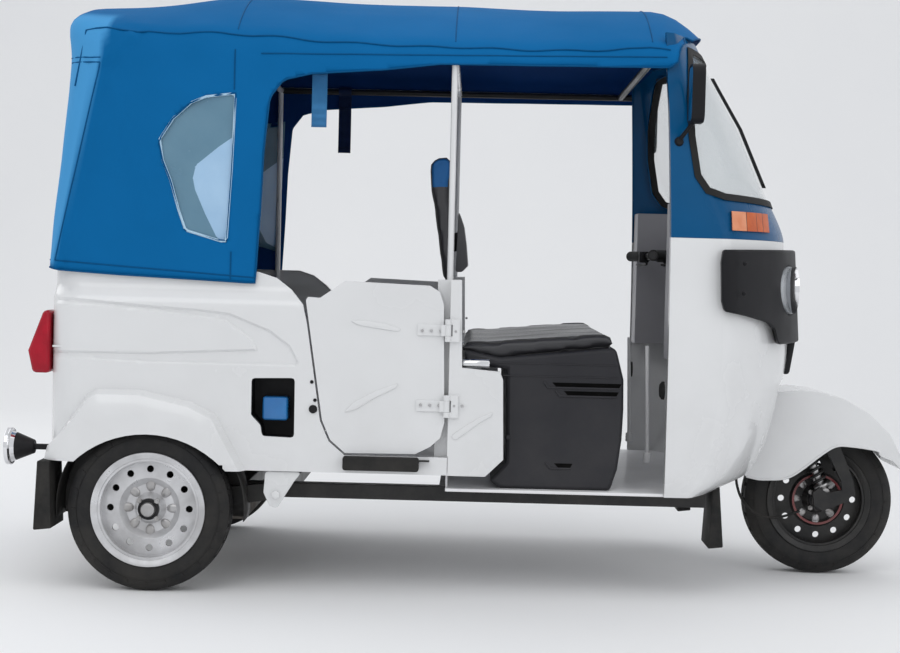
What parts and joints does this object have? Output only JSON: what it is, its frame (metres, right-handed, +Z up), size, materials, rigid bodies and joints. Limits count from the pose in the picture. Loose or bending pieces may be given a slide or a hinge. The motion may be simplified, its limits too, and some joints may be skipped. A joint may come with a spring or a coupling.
{
  "type": "auto rickshaw",
  "caption": "Three-wheeled passenger auto rickshaw with a soft top, a driver's bench, a rear bench, low side doors and a steered front wheel.",
  "frame": {"origin": "on the ground under the middle of the vehicle's box", "axes": "+X forwards, +Y to the vehicle's left, +Z up"},
  "size_m": [2.708, 1.36, 1.7839],
  "materials": {
    "white_paint": "gloss enamel",
    "blue_paint": "gloss enamel",
    "black_paint": "satin chassis paint",
    "grey_paint": "satin",
    "silver_paint": "metallic",
    "canvas": "coated canvas",
    "clear_film": "clear vinyl",
    "glass": "polished",
    "black_plastic": "textured",
    "grey_plastic": "textured",
    "blue_plastic": "smooth",
    "amber": "lens",
    "red_lens": "lens",
    "clear_lens": "lens",
    "seat_vinyl": "vinyl",
    "strap_web": "webbing",
    "rubber": "matt",
    "tyre": "tread",
    "cast": "cast",
    "mirror": "polished"
  },
  "bodies": {
    "chassis": {"bulkhead": "grey_paint", "canopy": "canvas", "canopy_frame": "white_paint", "chassis_frame": "black_paint", "dash_panel": "grey_plastic", "driver_backrest": "seat_vinyl", "driver_cushion": "seat_vinyl", "engine_block": "cast", "floor_pan": "grey_paint", "fluid_unit": "blue_plastic", "front_cowl": "white_paint", "front_grille": "black_plastic", "hand_straps": "strap_web", "headlamp_housings": "black_plastic", "headlamp_lenses": "clear_lens", "instrument_pod": "black_plastic", "mirror_glasses": "mirror", "mirrors": "black_plastic", "mudflaps": "rubber", "partition_frame": "black_paint", "passenger_backrest": "seat_vinyl", "passenger_cushion": "seat_vinyl", "passenger_seat_base": "black_paint", "pedal": "black_paint", "rear_body": "white_paint", "rear_lamps": "black_plastic", "seat_base": "black_plastic", "service_tray": "black_plastic", "side_panel_left": "white_paint", "side_panel_right": "white_paint", "steering_head": "black_paint", "steps": "rubber", "tail_lamps": "red_lens", "trailing_arms": "silver_paint", "turn_signals": "amber", "window_films": "clear_film", "windscreen": "glass", "windscreen_frame": "blue_paint", "windscreen_seal": "rubber", "wiper": "black_plastic"},
    "door_right": {"door_right": "white_paint"},
    "door_left": {"door_left": "white_paint"},
    "engine_lid": {"engine_lid": "white_paint"},
    "rear_right_wheel": {"rim_rear_right": "silver_paint", "tyre_rear_right": "tyre"},
    "rear_left_wheel": {"rim_rear_left": "silver_paint", "tyre_rear_left": "tyre"},
    "front_wheel": {"rim_front": "black_paint", "tyre_front": "tyre"},
    "steering": {"steering_stem": "black_paint", "handlebar": "black_paint", "hand_grips": "rubber", "front_fender": "white_paint", "spring_unit": "black_paint"}
  },
  "joints": [
    {"name": "rear_right_roll", "type": "hinge", "parent": "chassis", "child": "rear_right_wheel", "pos_m": [-0.915, -0.569, 0.236], "axis": [0, 1, 0], "continuous": true},
    {"name": "rear_left_roll", "type": "hinge", "parent": "chassis", "child": "rear_left_wheel", "pos_m": [-0.915, 0.569, 0.236], "axis": [0, 1, 0], "continuous": true},
    {"name": "steer", "type": "hinge", "parent": "chassis", "child": "steering", "pos_m": [0.63, 0, 1], "axis": [-0.454, 0, 0.891], "range_deg": [-35, 35]},
    {"name": "front_roll", "type": "hinge", "parent": "steering", "child": "front_wheel", "pos_m": [1.116, 0, 0.236], "axis": [0, 1, 0], "continuous": true},
    {"name": "door_right_swing", "type": "hinge", "parent": "chassis", "child": "door_right", "pos_m": [-0.067, -0.611, 0.66], "axis": [0, 0, 1], "range_deg": [0, 80]},
    {"name": "door_left_swing", "type": "hinge", "parent": "chassis", "child": "door_left", "pos_m": [-0.067, 0.611, 0.66], "axis": [0, 0, -1], "range_deg": [0, 80]},
    {"name": "engine_lid_swing", "type": "hinge", "parent": "chassis", "child": "engine_lid", "pos_m": [-1.227, 0, 0.687], "axis": [0, 1, 0], "range_deg": [0, 75]}
  ]
}
